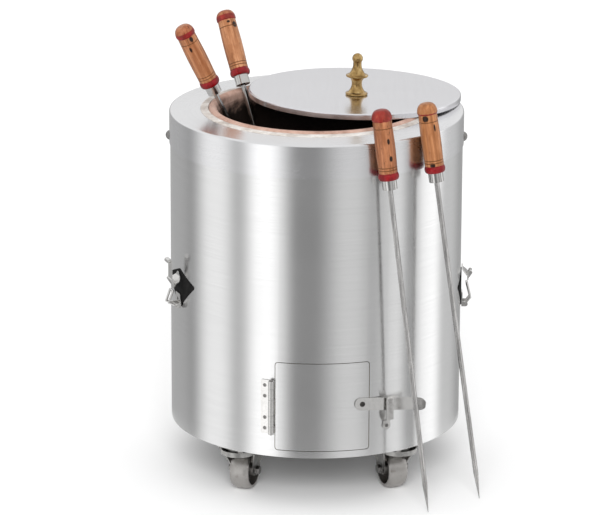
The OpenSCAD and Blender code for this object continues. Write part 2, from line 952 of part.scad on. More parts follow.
module side_pad(i) {
    wide_at = pad_h * pad_wide;
    color("black")
        difference() {
            intersection() {
                tube_ring(pad_n + pad_t, pad_n, stand_h, drum_top);
                catch_frame(i)
                    stand_out(-pad_w / 8, pierce)
                        hull() {
                            translate([0, pad_r])
                                circle(r = pad_r, $fn = small_round);
                            translate([0, pad_h - pad_r])
                                circle(r = pad_r, $fn = small_round);
                            for (s = [-1, 1])
                                translate([s * (pad_w / 2 - pad_r), wide_at])
                                    circle(r = pad_r, $fn = small_round);
                        }
            }
            fitting_screw_spots()
                screw_hole(small_screw_d, small_screw_head, keeper_t, screw_len);
        }
}

module side_base(i) {
    n0 = foot_n - drum_r;
    color("silver")
        catch_frame(i)
            difference() {
                union() {
                    translate([0, 0, foot_h / 2])
                        stand_out(-n0 - catch_t, -n0)
                            round_rect(foot_w, foot_h, foot_r);
                    for (s = [-1, 1])
                        translate([s * (bail_w / 2 + bail_d / 2 + touch_gap + ear_t / 2), 0, 0])
                            side_profile(ear_t) {
                                translate([bail_n, bail_z])
                                    circle(r = ear_r);
                                translate([n0, bail_z - ear_r])
                                    square([bail_n - n0, 2 * ear_r]);
                            }
                }
                translate([0, -bail_n, bail_z])
                    rotate([0, 90, 0])
                        cylinder(d = bail_d + 2 * seat_gap, h = 2 * foot_w, center = true);
                translate([0, -n0 - catch_t, foot_h / 2 + foot_r])
                    screw_hole(small_screw_d, small_screw_head, keeper_t, screw_len);
            }
}

// Folded plate, held to the drum at its top, that stands out over the bail
module side_catch(i) {
    n0 = foot_n - drum_r;
    n1 = plate_out;
    color("gainsboro")
        catch_frame(i)
            translate([0, 0, plate_up[i]]) {
                intersection() {
                    side_profile(leaf_plate_w)
                        polygon([
                            [n0, plate_high + plate_end],
                            [n0 + catch_t, plate_high + plate_end],
                            [n0 + catch_t, plate_high],
                            [n1 + catch_t, plate_mid],
                            [n1 + catch_t, plate_low],
                            [n1, plate_low],
                            [n1, plate_mid - catch_t / 2],
                            [n0, plate_high - catch_t / 2]]);
                    stand_out(-plate_out - pierce / 2, 0)
                        hull() {
                            translate([0, plate_high + plate_end - plate_tip])
                                circle(r = plate_tip, $fn = small_round);
                            translate([0, plate_low + plate_tip])
                                circle(r = plate_tip, $fn = small_round);
                            for (s = [-1, 1])
                                translate([s * (leaf_plate_w / 2 - plate_tip), plate_mid + plate_tip])
                                    circle(r = plate_tip, $fn = small_round);
                        }
                }
                for (s = [-1, 1])
                    translate([s * (lever_w / 2 + touch_gap + ear_t / 2), 0, 0])
                        side_profile(ear_t)
                            hull() {
                                translate([lever_n, lever_z])
                                    circle(d = lever_eye_d, $fn = small_round);
                                translate([n1, plate_mid - lever_eye_d])
                                    square([catch_t, lever_eye_d]);
                            }
                translate([0, -lever_n, lever_z])
                    rotate([0, 90, 0])
                        cylinder(d = lever_pin_d, h = lever_w + 2 * ear_t, center = true);
            }
}

// Wire loop on the base's ears: two legs that bend out and up to a cross bar
module side_bail(i) {
    r = bail_d / 2;
    path = bail_path[i];
    color("lightgray")
        catch_frame(i) {
            for (s = [-1, 1])
                translate([s * bail_w / 2, 0, 0]) {
                    wire(path[0], path[1], r);
                    wire(path[1], path[2], r);
                    for (k = [1, 2])
                        translate([0, -path[k][0], path[k][1]])
                            sphere(r = r + seat_gap);
                }
            translate([0, -path[2][0], path[2][1]])
                rotate([0, 90, 0])
                    cylinder(r = r, h = bail_w, center = true);
            translate([0, -bail_n, bail_z])
                rotate([0, 90, 0])
                    cylinder(r = r, h = bail_w + 2 * bail_d + 2 * ear_t, center = true);
        }
}

// A straight round wire between two places given as depth and height
module wire(a, b, r) {
    translate([0, -a[0], a[1]])
        rotate([atan2(b[0] - a[0], b[1] - a[1]), 0, 0])
            cylinder(r = r, h = norm(b - a));
}

module side_lever_left() {
    curl_z = lever_len - curl_d / 2;
    curl_n = (curl_d - catch_t) / 2;
    color("gainsboro")
        catch_frame(0)
            translate([0, -lever_n, lever_z])
                difference() {
                    side_profile(lever_w) {
                        circle(d = lever_eye_d);
                        translate([-catch_t / 2, 0])
                            square([catch_t, curl_z]);
                        translate([curl_n, curl_z])
                            circle(d = curl_d);
                    }
                    rotate([0, 90, 0])
                        cylinder(d = lever_pin_d + 2 * pin_gap, h = 2 * lever_w, center = true);
                    translate([0, -curl_n, curl_z])
                        rotate([0, 90, 0])
                            cylinder(d = curl_d - 2 * catch_t, h = 2 * lever_w, center = true);
                }
}

// Casters

module caster_frame(i) {
    at_az(caster_az[i], caster_r, 0)
        children();
}

module caster_bolt_spots() {
    for (i = [0:3], sx = [-1, 1], sy = [-1, 1])
        caster_frame(i)
            translate([sx * plate_pitch / 2, sy * plate_pitch / 2, stand_h])
                children();
}

// Frame of a turned caster: +Y is the way that its wheel trails
module turned(i) {
    caster_frame(i)
        rotate([0, 0, -caster_az[i] + caster_turn[i]])
            children();
}

module caster_plate(i) {
    color("silver")
        caster_frame(i)
            difference() {
                union() {
                    translate([0, 0, plate_z])
                        linear_extrude(height = plate_t)
                            round_rect(plate_w, plate_w, plate_corner);
                    tube_ring(race_r, race_r - race_t, crown_z + crown_t + 2 * touch_gap, plate_z);
                    translate([0, 0, king_z])
                        cylinder(d = king_d, h = plate_z - king_z + tiny);
                    translate([0, 0, king_z])
                        cylinder(d = king_d + king_over, h = king_head);
                }
                for (sx = [-1, 1], sy = [-1, 1])
                    translate([sx * plate_pitch / 2, sy * plate_pitch / 2, plate_z - 1])
                        cylinder(d = caster_bolt_d + 2 * seat_gap, h = plate_t + 2);
            }
}

module caster_bolts() {
    color("gray")
        caster_bolt_spots() {
            translate([0, 0, -plate_t - bolt_head_h])
                cylinder(d = head_over * caster_bolt_d, h = bolt_head_h, $fn = 6);
            translate([0, 0, -plate_t - tiny])
                cylinder(d = caster_bolt_d, h = plate_t + base_t + nut_h + bolt_over);
            translate([0, 0, base_t])
                cylinder(d = nut_over * caster_bolt_d, h = nut_h, $fn = 6);
        }
}

module leg_side() {
    hull() {
        translate([-leg_back, crown_z])
            square([leg_back + leg_front, crown_t]);
        translate([-trail, wheel_r])
            circle(r = axle_boss, $fn = small_round);
    }
}

// A piece of a leg: its side view, cut to the outline that it has when seen along the trail
module leg_piece(outline) {
    intersection() {
        side_profile(2 * crown_d)
            children();
        rotate([90, 0, 0])
            linear_extrude(height = 4 * crown_d, center = true)
                polygon(outline);
    }
}

// Each leg rises past the wheel, then leans out to the crown, and its rear edge is turned outwards
module fork_legs() {
    outer = leg_x + fork_t;
    low = wheel_r - axle_boss - 1;
    boss_top = wheel_r + axle_boss;
    top = crown_z + crown_t;
    top_x = crown_r - fork_t;
    for (side = [0, 1])
        mirror([side, 0, 0]) {
            leg_piece([[leg_x, low], [outer, low], [outer, bend_z], [crown_r, top], [top_x, top], [leg_x, bend_z]])
                leg_side();
            leg_piece([[leg_x, boss_top], [outer, boss_top], [crown_r + flange_w, top], [top_x, top]])
                difference() {
                    leg_side();
                    translate([fork_t, 0])
                        leg_side();
                }
        }
}

module caster_fork(i) {
    color("silver")
        turned(i)
            difference() {
                union() {
                    tube_ring(crown_r, crown_r - crown_wall, crown_z, crown_top);
                    translate([0, 0, crown_z])
                        cylinder(r = crown_r, h = crown_t);
                    fork_legs();
                }
                translate([0, 0, crown_z - 1])
                    cylinder(r = king_d / 2 + pin_gap, h = crown_t + 2);
                translate([0, trail, wheel_r])
                    rotate([0, 90, 0])
                        cylinder(r = axle_d / 2 + pin_gap, h = 3 * wheel_w, center = true);
            }
}

module caster_axle(i) {
    outer = leg_x + fork_t;
    color("gray")
        turned(i)
            translate([0, trail, wheel_r])
                rotate([0, 90, 0]) {
                    cylinder(d = axle_d, h = 2 * (outer + nut_h), center = true);
                    for (s = [-1, 1])
                        translate([0, 0, s * (outer + nut_h / 2 + seat_gap)])
                            cylinder(d = head_over * axle_d, h = nut_h, center = true, $fn = 6);
                }
}

module caster_wheel(i) {
    bore_r = axle_d / 2 + pin_gap;
    half = wheel_w / 2;
    rim_r = wheel_r - tread_t;
    color("darkgray")
        turned(i)
            translate([0, trail, wheel_r])
                rotate([0, 90, 0])
                    rotate_extrude()
                        polygon(concat(
                            [[bore_r, -half - hub_out], [hub_r, -half - hub_out]],
                            [[hub_r + draft, -web / 2], [rim_r - draft, -web / 2], [rim_r, -half]],
                            [for (k = [-tread_steps:tread_steps]) let (u = k / tread_steps)
                                [wheel_r - tread_sag * pow(abs(u), tread_round), half * u]],
                            [[rim_r, half], [rim_r - draft, web / 2], [hub_r + draft, web / 2]],
                            [[hub_r, half + hub_out], [bore_r, half + hub_out]]));
}

// Lid

module lid_frame() {
    translate([lid_pos[0], lid_pos[1], lid_z])
        rotate([0, 0, lid_dir])
            rotate([0, lid_tilt, 0])
                rotate([0, 0, -lid_dir])
                    children();
}

module lid_disc() {
    edge = lid_edge_r;
    color("whitesmoke")
        lid_frame()
            difference() {
                rotate_extrude($fn = far_round)
                    polygon(concat(
                        [[0, lid_rim - lid_t], [0, lid_rim]],
                        arc(lid_r - edge, lid_rim - edge, edge, 90, 0, arc_steps),
                        [[lid_r, 0], [lid_r - lid_t, 0]],
                        arc(lid_r - edge, lid_rim - edge, edge - lid_t, 0, 90, arc_steps)));
                translate([knob_pos[0], knob_pos[1], 0])
                    cylinder(d = knob_screw_d + 2 * seat_gap, h = 2 * lid_rim);
            }
}

// Curve between a wide and a slim radius, wide at the height z0
function flare(wide, slim, z0, z1) =
    [for (k = [0:flare_steps]) let (u = k / flare_steps)
        [slim + (wide - slim) * pow(1 - u, flare_power), z0 + (z1 - z0) * u]];

function flare_up(slim, wide, z0, z1) =
    [for (k = [0:flare_steps]) let (u = k / flare_steps)
        [slim + (wide - slim) * pow(u, flare_power), z0 + (z1 - z0) * u]];

module knob_profile() {
    foot_r = knob_d / 2;
    edge = knob_edge * foot_r;
    waist_r = knob_waist * foot_r;
    neck_r = knob_neck * foot_r;
    ball_r = knob_ball * foot_r;
    waist_z = knob_waist_z * knob_h;
    disc_z = knob_disc_z * knob_h;
    ball_z = knob_h - ball_r;
    join = acos(neck_r / ball_r);
    polygon(concat(
        [[0, 0], [foot_r - edge, 0]],
        arc(foot_r - edge, edge, edge, -60, 60, arc_steps),
        flare(foot_r - 2 * edge, waist_r, 2 * edge + knob_step, waist_z),
        flare_up(waist_r, foot_r - 2 * edge, waist_z + knob_step, disc_z - edge),
        arc(foot_r - edge, disc_z, edge, -70, 70, arc_steps),
        flare(foot_r - 2 * edge, neck_r, disc_z + edge, ball_z - ball_r),
        [for (k = [0:flare_steps]) let (a = -join + (90 + join) * k / flare_steps)
            [ball_r * cos(a), ball_z + ball_r * sin(a)]]));
}

module lid_knob() {
    color("goldenrod")
        lid_frame()
            translate([knob_pos[0], knob_pos[1], lid_rim]) {
                rotate_extrude()
                    knob_profile();
                translate([0, 0, -lid_t - washer_t - nut_h])
                    cylinder(d = knob_screw_d, h = lid_t + washer_t + nut_h + 1);
            }
}

module knob_nut() {
    color("gray")
        lid_frame()
            translate([knob_pos[0], knob_pos[1], lid_rim - lid_t - washer_t])
                difference() {
                    union() {
                        cylinder(d = washer_over * knob_screw_d, h = washer_t);
                        translate([0, 0, -nut_h + 1])
                            cylinder(d = nut_over * knob_screw_d, h = nut_h, $fn = 6);
                    }
                    translate([0, 0, -nut_h])
                        cylinder(d = knob_screw_d + 2 * seat_gap, h = 3 * nut_h);
                }
}

// Skewers

// Place of a skewer's tip: two stand on the grate and two on the floor
function tip_at(i) = let (p = spot(tip_place[i][0], tip_place[i][1]))
    [p[0], p[1], tip_gap + (i < 2 ? grate_top : 0)];

// Place where a skewer's axis passes the lip or the collar's edge
function lean_at(i) = let (
        r = i < 2 ? mouth_r - rod_diag - lean_gap : collar_r + handle_r + touch_gap,
        p = spot(lean_az[i], r))
    [p[0], p[1], i < 2 ? lip_top : drum_top];

module skewer_frame(i) {
    d = lean_at(i) - tip_at(i);
    translate(tip_at(i))
        rotate([0, acos(d[2] / norm(d)), atan2(d[1], d[0])])
            rotate([0, 0, rod_turn[i]])
                children();
}

module skewer_rod(i) {
    color("gray")
        skewer_frame(i) {
            translate([0, 0, point_len - tiny])
                linear_extrude(height = rod_len - point_len + tang_len)
                    square(rod_w, center = true);
            mirror([0, 0, 1])
                translate([0, 0, -point_len])
                    linear_extrude(height = point_len, scale = point_share)
                        square(rod_w, center = true);
        }
}

function groove(r, z) = [[r, z - groove_in], [r - groove_in, z], [r, z + groove_in]];

module handle_profile() {
    body = handle_r - body_in;
    z0 = ferrule_len;
    z1 = z0 + handle_len;
    tang_r = ferrule_r - ferrule_t - seat_gap;
    swell_z = z0 + groove_low[1] + 2 * groove_in;
    swell_h = handle_len - groove_low[1] - groove_drop - 4 * groove_in;
    polygon(concat(
        [[0, 1], [tang_r, 1], [tang_r, z0], [handle_r - bead_in - 1, z0]],
        [for (a = [-60:20:60])
            [handle_r - bead_in * (1 - cos(a)), z0 + bead_h / 2 + (bead_h / 2 - groove_in) * sin(a) / sin(60)]],
        [[body, z0 + bead_h]],
        groove(body, z0 + groove_low[0]),
        groove(body, z0 + groove_low[1]),
        [for (k = [1:7]) [body + swell * sin(180 * k / 8), swell_z + swell_h * k / 8]],
        groove(body, z1 - groove_drop),
        [[body - swell, z1 - cap_drop], [body + swell, z1 - cap_drop + 2]],
        [for (a = [0:15:75]) [handle_r - cap_r + (cap_r - groove_in / 2) * cos(a), z1 - cap_h + cap_h * sin(a)]],
        [[handle_r - cap_r, z1], [0, z1]]));
}

module skewer_handle(i) {
    color("burlywood")
        skewer_frame(i)
            translate([0, 0, rod_len])
                difference() {
                    rotate_extrude()
                        handle_profile();
                    translate([0, 0, -1])
                        cylinder(r = rod_diag + seat_gap, h = tang_len + 2);
                }
}

module skewer_ferrule(i) {
    color("silver")
        skewer_frame(i)
            translate([0, 0, rod_len - ferrule_over])
                difference() {
                    cylinder(r = ferrule_r, h = ferrule_len + ferrule_over - seat_gap);
                    translate([0, 0, -1])
                        cylinder(r = ferrule_r - ferrule_t, h = ferrule_len + pierce);
                }
}

// The oven

outer_shell();
base_plate();
top_collar();
collar_bolts();
clay_pot();
mortar_ring();
insulation_fill();
door_throat();
fire_grate();
hinge_leaf_drum();
hinge_pin();
hinge_screws();
latch_keeper();
fitting_screws();
side_pad(0);  // side_pad_left
side_pad(1);  // side_pad_right
side_base(0);  // side_base_left
side_base(1);  // side_base_right
side_catch(0);  // side_catch_left
side_catch(1);  // side_catch_right
side_bail(0);  // side_bail_left
side_bail(1);  // side_bail_right
side_lever_left();
ash_door();
door_lining();
hinge_leaf_door();
latch_rivet();
latch_bar();
lid_disc();
lid_knob();
knob_nut();
caster_bolts();
caster_plate(0);  // caster_plate_1
caster_plate(1);  // caster_plate_2
caster_plate(2);  // caster_plate_3
caster_plate(3);  // caster_plate_4
caster_fork(0);  // caster_fork_1
caster_fork(1);  // caster_fork_2
caster_fork(2);  // caster_fork_3
caster_fork(3);  // caster_fork_4
caster_axle(0);  // caster_axle_1
caster_axle(1);  // caster_axle_2
caster_axle(2);  // caster_axle_3
caster_axle(3);  // caster_axle_4
caster_wheel(0);  // caster_wheel_1
caster_wheel(1);  // caster_wheel_2
caster_wheel(2);  // caster_wheel_3
caster_wheel(3);  // caster_wheel_4
skewer_rod(0);  // skewer_rod_a
skewer_rod(1);  // skewer_rod_b
skewer_rod(2);  // skewer_rod_c
skewer_rod(3);  // skewer_rod_d
skewer_handle(0);  // skewer_handle_a
skewer_handle(1);  // skewer_handle_b
skewer_handle(2);  // skewer_handle_c
skewer_handle(3);  // skewer_handle_d
skewer_ferrule(0);  // skewer_ferrule_a
skewer_ferrule(1);  // skewer_ferrule_b
skewer_ferrule(2);  // skewer_ferrule_c
skewer_ferrule(3);  // skewer_ferrule_d
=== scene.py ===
# Clay tandoor oven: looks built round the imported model.
import math

import bmesh
import bpy
from mathutils import Matrix, Vector


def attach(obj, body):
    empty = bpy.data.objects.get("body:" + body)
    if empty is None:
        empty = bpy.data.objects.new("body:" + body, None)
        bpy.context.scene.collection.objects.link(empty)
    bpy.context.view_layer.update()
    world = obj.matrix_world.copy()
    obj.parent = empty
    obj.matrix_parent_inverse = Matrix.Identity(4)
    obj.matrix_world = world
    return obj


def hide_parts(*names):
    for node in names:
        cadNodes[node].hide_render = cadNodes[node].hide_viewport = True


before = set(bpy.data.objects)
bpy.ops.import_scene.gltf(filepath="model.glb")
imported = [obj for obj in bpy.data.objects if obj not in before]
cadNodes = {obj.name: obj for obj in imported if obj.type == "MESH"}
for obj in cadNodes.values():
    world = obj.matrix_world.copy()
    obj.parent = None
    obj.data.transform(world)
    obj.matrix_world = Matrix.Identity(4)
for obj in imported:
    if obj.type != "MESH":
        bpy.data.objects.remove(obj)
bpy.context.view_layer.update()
print("model loaded,", len(cadNodes), "nodes")


def addNode(tree, kind, inputs=None, **settings):
    node = tree.nodes.new("ShaderNode" + kind)
    for key, value in settings.items():
        setattr(node, key, value)
    for key, value in (inputs or {}).items():
        if isinstance(value, bpy.types.NodeSocket):
            tree.links.new(value, node.inputs[key])
        else:
            node.inputs[key].default_value = value
    return node


def mathNode(tree, operation, first, second=0.0):
    return addNode(tree, "Math", {0: first, 1: second}, operation=operation).outputs[0]


def vectorNode(tree, operation, first, second=(0, 0, 0)):
    return addNode(tree, "VectorMath", {0: first, 1: second}, operation=operation).outputs[0]


def lengthOf(tree, vector):
    return addNode(tree, "VectorMath", {0: vector}, operation="LENGTH").outputs["Value"]


def partsOf(tree, vector):
    return addNode(tree, "SeparateXYZ", {0: vector}).outputs


def fade(tree, value, low, high, toLow=0.0, toHigh=1.0):
    node = addNode(tree, "MapRange", {0: value, 1: low, 2: high, 3: toLow, 4: toHigh},
                   interpolation_type="SMOOTHSTEP")
    return node.outputs[0]


def mixValue(tree, factor, first, second):
    return addNode(tree, "Mix", {0: factor, 2: first, 3: second}).outputs[0]


def mixColor(tree, factor, first, second, blend="MIX"):
    node = addNode(tree, "Mix", {0: factor, 6: first, 7: second}, data_type="RGBA", blend_type=blend)
    return node.outputs[2]


def opaque(color, shade=1.0):
    return (*[c * shade for c in color], 1)


def colorRamp(tree, factor, stops):
    node = addNode(tree, "ValToRGB", {0: factor})
    ramp = node.color_ramp
    while len(ramp.elements) > 1:
        ramp.elements.remove(ramp.elements[-1])
    ramp.elements[0].position = stops[0][0]
    ramp.elements[0].color = opaque(stops[0][1])
    for place, color in stops[1:]:
        ramp.elements.new(place).color = opaque(color)
    return node.outputs[0]


def noise(tree, vector, scale, detail, rough, warp=0.0):
    return addNode(tree, "TexNoise", {"Vector": vector, "Scale": scale, "Detail": detail,
                                      "Roughness": rough, "Distortion": warp}).outputs[0]


def objectCoords(tree, scale=(1, 1, 1)):
    coords = addNode(tree, "TexCoord").outputs["Object"]
    if scale == (1, 1, 1):
        return coords
    return addNode(tree, "Mapping", {"Vector": coords, "Scale": scale}).outputs[0]


def startMaterial(name):
    material = bpy.data.materials.new(name)
    material.use_nodes = True
    tree = material.node_tree
    return material, tree, tree.nodes["Principled BSDF"]


def linkBump(tree, shader, layers):
    normal = None
    for height, strength, distance in layers:
        bump = addNode(tree, "Bump", {"Height": height, "Strength": strength, "Distance": distance})
        if normal:
            tree.links.new(normal, bump.inputs["Normal"])
        normal = bump.outputs[0]
    tree.links.new(normal, shader.inputs["Normal"])


# the brushing runs round the drum's axis, and on over the collar's edge
def ringCoords(tree, along, across):
    coords = objectCoords(tree)
    parts = partsOf(tree, coords)
    radius = lengthOf(tree, vectorNode(tree, "MULTIPLY", coords, (1, 1, 0)))
    level = mathNode(tree, "MULTIPLY", mathNode(tree, "ADD", parts[2], radius), across)
    return addNode(tree, "CombineXYZ", {0: mathNode(tree, "MULTIPLY", parts[0], along),
                                        1: mathNode(tree, "MULTIPLY", parts[1], along), 2: level}).outputs[0]


# hairs and pulls: how often the fine and the coarse brushing changes, per metre
steelLooks = {
    "drumSteel": dict(color=(0.80, 0.80, 0.80), shade=0.97, hairs=(9, 2400), pulls=(3, 330), hairDepth=0.12,
                      smudge=5.0, rough=0.23, wear=0.015, bump=0.1, aniso=0.82),
    "collarSteel": dict(color=(0.82, 0.82, 0.83), shade=0.97, hairs=(12, 2400), pulls=(4, 300), hairDepth=0.1,
                        smudge=9.0, rough=0.25, wear=0.02, bump=0.1, aniso=0.6),
    "lidSteel": dict(color=(0.79, 0.785, 0.81), shade=0.975, hairs=(2400, 14, 14), pulls=(260, 5, 5),
                     hairDepth=0.08, smudge=7.0, rough=0.2, wear=0.02, bump=0.08),
    "fittingSteel": dict(color=(0.76, 0.75, 0.735), shade=0.93, hairs=(1500, 1500, 300), pulls=(160, 160, 60),
                         hairDepth=0.2, smudge=70.0, rough=0.2, wear=0.04, bump=0.3),
    "plateSteel": dict(color=(0.68, 0.675, 0.66), shade=0.85, hairs=(900, 900, 900), pulls=(120, 120, 120),
                       hairDepth=0.25, smudge=70.0, rough=0.3, wear=0.05, bump=0.3),
    "fastenerSteel": dict(color=(0.34, 0.33, 0.32), shade=0.7, hairs=(1800, 1800, 1800), pulls=(500, 500, 500),
                          hairDepth=0.3, smudge=90.0, rough=0.3, wear=0.05, bump=0.4),
    "rivetSteel": dict(color=(0.10, 0.095, 0.09), shade=0.6, hairs=(1800, 1800, 1800), pulls=(500, 500, 500),
                       hairDepth=0.3, smudge=90.0, rough=0.38, wear=0.05, bump=0.4),
    "zincSteel": dict(color=(0.46, 0.455, 0.44), shade=0.8, hairs=(900, 900, 900), pulls=(120, 120, 120),
                      hairDepth=0.3, smudge=55.0, rough=0.34, wear=0.06, bump=0.5),
    "dullSteel": dict(color=(0.08, 0.078, 0.075), shade=0.75, hairs=(600, 600, 600), pulls=(40, 40, 40),
                      hairDepth=0.2, smudge=20.0, rough=0.6, wear=0.06, bump=0.5),
    "rodSteel": dict(color=(0.60, 0.59, 0.58), shade=0.5, hairs=(1400, 1400, 60), pulls=(150, 150, 16),
                     hairDepth=0.3, smudge=25.0, rough=0.25, wear=0.05, bump=0.5),
    "ferruleSteel": dict(color=(0.60, 0.59, 0.575), shade=0.9, hairs=(900, 900, 900), pulls=(120, 120, 300),
                         hairDepth=0.15, smudge=90.0, rough=0.13, wear=0.03, bump=0.3),
}
brushing = dict(hairNoise=(1.0, 3.0, 0.6), pullNoise=(1.0, 3.0, 0.55), smudgeNoise=(4.0, 0.6),
                pullSpan=(0.3, 0.7), hairSpan=(0.35, 0.7), hairShade=0.6,
                roughSpan=(0.3, 0.7), hairRough=0.02, smudgeSpan=(0.35, 0.65), depth=0.00006, turn=0.25)


# two numbers for the hairs stand for rings, three for straight brushing
def brushedSteel(name, look):
    material, tree, shader = startMaterial(name)

    def brushed(stretch, kind):
        coords = ringCoords(tree, *stretch) if len(stretch) == 2 else objectCoords(tree, stretch)
        return noise(tree, coords, *brushing[kind])

    hairs = brushed(look["hairs"], "hairNoise")
    pulls = brushed(look["pulls"], "pullNoise")
    smudge = noise(tree, objectCoords(tree), look["smudge"], *brushing["smudgeNoise"])
    dark = [c * look["shade"] for c in look["color"]]
    low, high = brushing["pullSpan"]
    base = colorRamp(tree, pulls, [(low, dark), (high, look["color"])])
    share = fade(tree, hairs, *brushing["hairSpan"], 0.0, look["hairDepth"])
    base = mixColor(tree, share, base, opaque(dark, brushing["hairShade"]))
    tree.links.new(base, shader.inputs["Base Color"])
    fine = fade(tree, hairs, *brushing["roughSpan"], -brushing["hairRough"], brushing["hairRough"])
    broad = fade(tree, smudge, *brushing["smudgeSpan"], look["rough"] - look["wear"], look["rough"] + look["wear"])
    tree.links.new(mathNode(tree, "ADD", fine, broad), shader.inputs["Roughness"])
    linkBump(tree, shader, [(hairs, look["bump"], brushing["depth"])])
    shader.inputs["Metallic"].default_value = 1.0
    if "aniso" in look:
        shader.inputs["Anisotropic"].default_value = look["aniso"]
        shader.inputs["Anisotropic Rotation"].default_value = brushing["turn"]
        tangent = addNode(tree, "Tangent", direction_type="RADIAL", axis="Z")
        tree.links.new(tangent.outputs[0], shader.inputs["Tangent"])
    return material


# broad and fine: scale, detail, roughness and warp of a noise; tones: where each color stands on its noise
# over: span of a noise that lays a second color on; rough: one number, or a noise and its two ends
mottledLooks = {
    "wheelSteel": dict(broad=(80.0, 4.0, 0.6), fine=(900.0, 4.0, 0.7), toneNoise="fine",
                       tones=[(0.3, (0.34, 0.325, 0.31)), (0.7, (0.47, 0.455, 0.44))],
                       over=dict(noise="broad", span=(0.55, 0.72), share=0.5, color=(0.22, 0.19, 0.165)),
                       rough=("broad", 0.3, 0.42), bumps=[("fine", 0.15, 0.0002)], metal=1.0),
    "castBrass": dict(broad=(90.0, 4.0, 0.6), fine=(700.0, 3.0, 0.6),
                      tones=[(0.3, (0.22, 0.135, 0.05)), (0.5, (0.42, 0.27, 0.105)), (0.7, (0.60, 0.43, 0.20))],
                      rough=("broad", 0.24, 0.13), bumps=[("fine", 0.1, 0.0002)], metal=1.0),
    "firedClay": dict(broad=(22.0, 5.0, 0.6), fine=(600.0, 4.0, 0.7),
                      tones=[(0.3, (0.38, 0.23, 0.18)), (0.5, (0.56, 0.37, 0.30)), (0.7, (0.70, 0.53, 0.45))],
                      over=dict(noise="fine", span=(0.4, 0.65), share=0.35, color=(0.30, 0.18, 0.14),
                                blend="MULTIPLY"),
                      # painted shade: below a ragged level the clay is painted near black, the shade of the pot's
                      # covered inside
                      paintedInsideShade=dict(levels=(0.665, 0.702), ragged=0.02, share=0.97, color=(0.006, 0.0045, 0.004)),
                      rough=0.9, bumps=[("fine", 0.5, 0.0015), ("broad", 0.7, 0.006)]),
    "roughMortar": dict(broad=(40.0, 5.0, 0.65), fine=(500.0, 4.0, 0.7),
                        tones=[(0.3, (0.42, 0.36, 0.32)), (0.52, (0.66, 0.62, 0.58)), (0.7, (0.80, 0.78, 0.76))],
                        over=dict(noise="fine", span=(0.5, 0.7), share=0.5, color=(0.36, 0.29, 0.25),
                                  blend="MULTIPLY"),
                        rough=0.9, bumps=[("fine", 0.6, 0.0015), ("broad", 0.8, 0.006)]),
    # the kite-shaped sheet on each side of the drum is coloured near black
    "nearBlackKite": dict(broad=(60.0, 4.0, 0.6), fine=(900.0, 3.0, 0.6),
                     tones=[(0.3, (0.004, 0.004, 0.004)), (0.7, (0.012, 0.0115, 0.011))],
                     rough=("broad", 0.8, 0.65), bumps=[("fine", 0.3, 0.0005)], specular=0.12),
    "sootyIron": dict(broad=(45.0, 5.0, 0.65), fine=(500.0, 4.0, 0.7),
                      tones=[(0.3, (0.01, 0.009, 0.008)), (0.55, (0.05, 0.045, 0.04)), (0.75, (0.13, 0.10, 0.08))],
                      rough=("fine", 0.85, 0.6), bumps=[("fine", 0.5, 0.001)], metal=0.4),
    "looseWool": dict(stretch=(90, 90, 400), broad=(1.0, 5.0, 0.7, 1.5),
                      tones=[(0.3, (0.36, 0.31, 0.2)), (0.7, (0.72, 0.67, 0.5))],
                      rough=0.95, bumps=[("broad", 0.8, 0.003)]),
}
roughSpan = (0.3, 0.7)


def mottled(name, look):
    material, tree, shader = startMaterial(name)
    coords = objectCoords(tree, look.get("stretch", (1, 1, 1)))
    noises = {key: noise(tree, coords, *look[key]) for key in ("broad", "fine") if key in look}
    base = colorRamp(tree, noises[look.get("toneNoise", "broad")], look["tones"])
    if "over" in look:
        over = look["over"]
        share = fade(tree, noises[over["noise"]], *over["span"], 0.0, over["share"])
        base = mixColor(tree, share, base, opaque(over["color"]), over.get("blend", "MIX"))
    # painted shade: the pot's covered inside is painted near black below a ragged level
    if "paintedInsideShade" in look:
        paintedInsideShade = look["paintedInsideShade"]
        ragged = fade(tree, noises["broad"], *roughSpan, -paintedInsideShade["ragged"], paintedInsideShade["ragged"])
        height = mathNode(tree, "ADD", partsOf(tree, coords)[2], ragged)
        base = mixColor(tree, fade(tree, height, *paintedInsideShade["levels"], paintedInsideShade["share"], 0.0), base, opaque(paintedInsideShade["color"]))
    tree.links.new(base, shader.inputs["Base Color"])
    if isinstance(look["rough"], float):
        shader.inputs["Roughness"].default_value = look["rough"]
    else:
        key, atLow, atHigh = look["rough"]
        tree.links.new(fade(tree, noises[key], *roughSpan, atLow, atHigh), shader.inputs["Roughness"])
    linkBump(tree, shader, [(noises[key], strength, distance) for key, strength, distance in look["bumps"]])
    shader.inputs["Metallic"].default_value = look.get("metal", 0.0)
    if "specular" in look:
        shader.inputs["Specular IOR Level"].default_value = look["specular"]
    return material


finishes = {name: brushedSteel(name, look) for name, look in steelLooks.items()}
finishes.update({name: mottled(name, look) for name, look in mottledLooks.items()})
print("materials made:", len(finishes))

# by the start of the node's name; the longest start counts, and what has none is a fastener
nodeFinish = {
    "outer_shell": "drumSteel", "ash_door": "drumSteel", "top_collar": "collarSteel", "lid_disc": "lidSteel",
    "base_plate": "dullSteel", "clay_pot": "firedClay", "mortar_ring": "roughMortar",
    "insulation_fill": "looseWool", "door_throat": "zincSteel", "door_lining": "zincSteel",
    "fire_grate": "sootyIron", "lid_knob": "castBrass", "side_pad": "nearBlackKite",
    "caster_wheel": "wheelSteel", "caster_fork": "zincSteel", "caster_plate": "plateSteel",
    "skewer_rod": "rodSteel", "skewer_ferrule": "ferruleSteel", "hinge_leaf": "fittingSteel",
    "latch_bar": "fittingSteel", "latch_keeper": "fittingSteel", "side_": "fittingSteel",
    "latch_rivet": "rivetSteel",
}
for name, node in cadNodes.items():
    starts = [key for key in nodeFinish if name.startswith(key)]
    finish = nodeFinish[max(starts, key=len)] if starts else "fastenerSteel"
    node.data.materials.clear()
    node.data.materials.append(finishes[finish])


